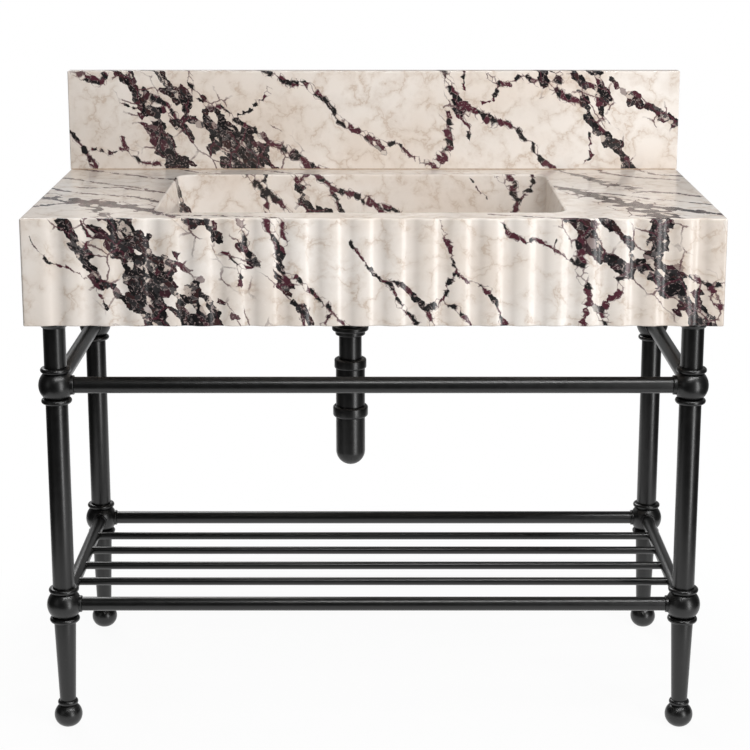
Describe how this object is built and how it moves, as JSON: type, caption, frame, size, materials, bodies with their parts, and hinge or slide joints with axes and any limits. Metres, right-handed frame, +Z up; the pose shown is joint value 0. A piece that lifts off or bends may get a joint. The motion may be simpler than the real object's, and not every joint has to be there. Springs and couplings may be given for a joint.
{
  "type": "console sink",
  "caption": "Free-standing console sink: fluted marble block with a carved rectangular basin and backsplash on a black tubular stand with ball joints, rod shelf and bottle trap.",
  "frame": {"origin": "on the floor, under the middle of the sink", "axes": "+X along the front to the viewer's right, +Y back to the wall, +Z up"},
  "size_m": [1.16, 0.56, 1.102],
  "materials": {
    "marble": "polished cream marble with dark and burgundy veins",
    "black_metal": "satin black coating",
    "seal": "matt black",
    "steel": "plain"
  },
  "bodies": {
    "console": {"back_nut": "black_metal", "backsplash": "marble", "basin_bowl": "marble", "corner_blocks": "marble", "deck_slab": "marble", "front_apron": "marble", "front_left_lower_ball": "black_metal", "front_left_middle_post": "black_metal", "front_left_tapered_leg": "black_metal", "front_left_upper_ball": "black_metal", "front_left_upper_post": "black_metal", "front_right_lower_ball": "black_metal", "front_right_middle_post": "black_metal", "front_right_tapered_leg": "black_metal", "front_right_upper_ball": "black_metal", "front_right_upper_post": "black_metal", "grub_screws": "steel", "left_apron": "marble", "leg_studs": "steel", "lower_front_rail": "black_metal", "lower_left_rail": "black_metal", "lower_rear_rail": "black_metal", "lower_right_rail": "black_metal", "outlet_nut": "black_metal", "outlet_tube": "black_metal", "rear_apron": "marble", "rear_left_lower_ball": "black_metal", "rear_left_middle_post": "black_metal", "rear_left_tapered_leg": "black_metal", "rear_left_upper_ball": "black_metal", "rear_left_upper_post": "black_metal", "rear_right_lower_ball": "black_metal", "rear_right_middle_post": "black_metal", "rear_right_tapered_leg": "black_metal", "rear_right_upper_ball": "black_metal", "rear_right_upper_post": "black_metal", "right_apron": "marble", "shelf_slat_1": "black_metal", "shelf_slat_2": "black_metal", "shelf_slat_3": "black_metal", "shelf_slat_4": "black_metal", "tail_nut": "black_metal", "tailpiece": "black_metal", "trap_body": "black_metal", "trap_top_nut": "black_metal", "upper_front_rail": "black_metal", "upper_left_rail": "black_metal", "upper_right_rail": "black_metal", "waste_body": "black_metal", "waste_seal": "seal"},
    "drain_plug": {"drain_plug": "black_metal"},
    "trap_cup": {"trap_cup": "black_metal", "trap_seal": "seal"},
    "trap_nut": {"trap_union_nut": "black_metal"},
    "front_left_foot": {"front_left_foot": "black_metal"},
    "front_right_foot": {"front_right_foot": "black_metal"},
    "rear_right_foot": {"rear_right_foot": "black_metal"},
    "rear_left_foot": {"rear_left_foot": "black_metal"}
  },
  "joints": [
    {"name": "drain_plug_lift", "type": "slide", "parent": "console", "child": "drain_plug", "axis": [0, 0, 1], "range_m": [0, 0.009]},
    {"name": "front_left_foot_level", "type": "slide", "parent": "console", "child": "front_left_foot", "axis": [0, 0, -1], "range_m": [0, 0.012]},
    {"name": "front_right_foot_level", "type": "slide", "parent": "console", "child": "front_right_foot", "axis": [0, 0, -1], "range_m": [0, 0.012]},
    {"name": "rear_right_foot_level", "type": "slide", "parent": "console", "child": "rear_right_foot", "axis": [0, 0, -1], "range_m": [0, 0.012]},
    {"name": "rear_left_foot_level", "type": "slide", "parent": "console", "child": "rear_left_foot", "axis": [0, 0, -1], "range_m": [0, 0.012]},
    {"name": "trap_cup_drop", "type": "slide", "parent": "console", "child": "trap_cup", "axis": [0, 0, -1], "range_m": [0, 0.009]},
    {"name": "trap_nut_turn", "type": "hinge", "parent": "trap_cup", "child": "trap_nut", "pos_m": [-0.042, -0.012, 0.513], "axis": [0, 0, -1], "range_deg": [0, 1080]}
  ],
  "couplings": [
    {"joint": "trap_cup_drop", "follows": "trap_nut_turn", "m_per_rad": 0.00047746}
  ]
}
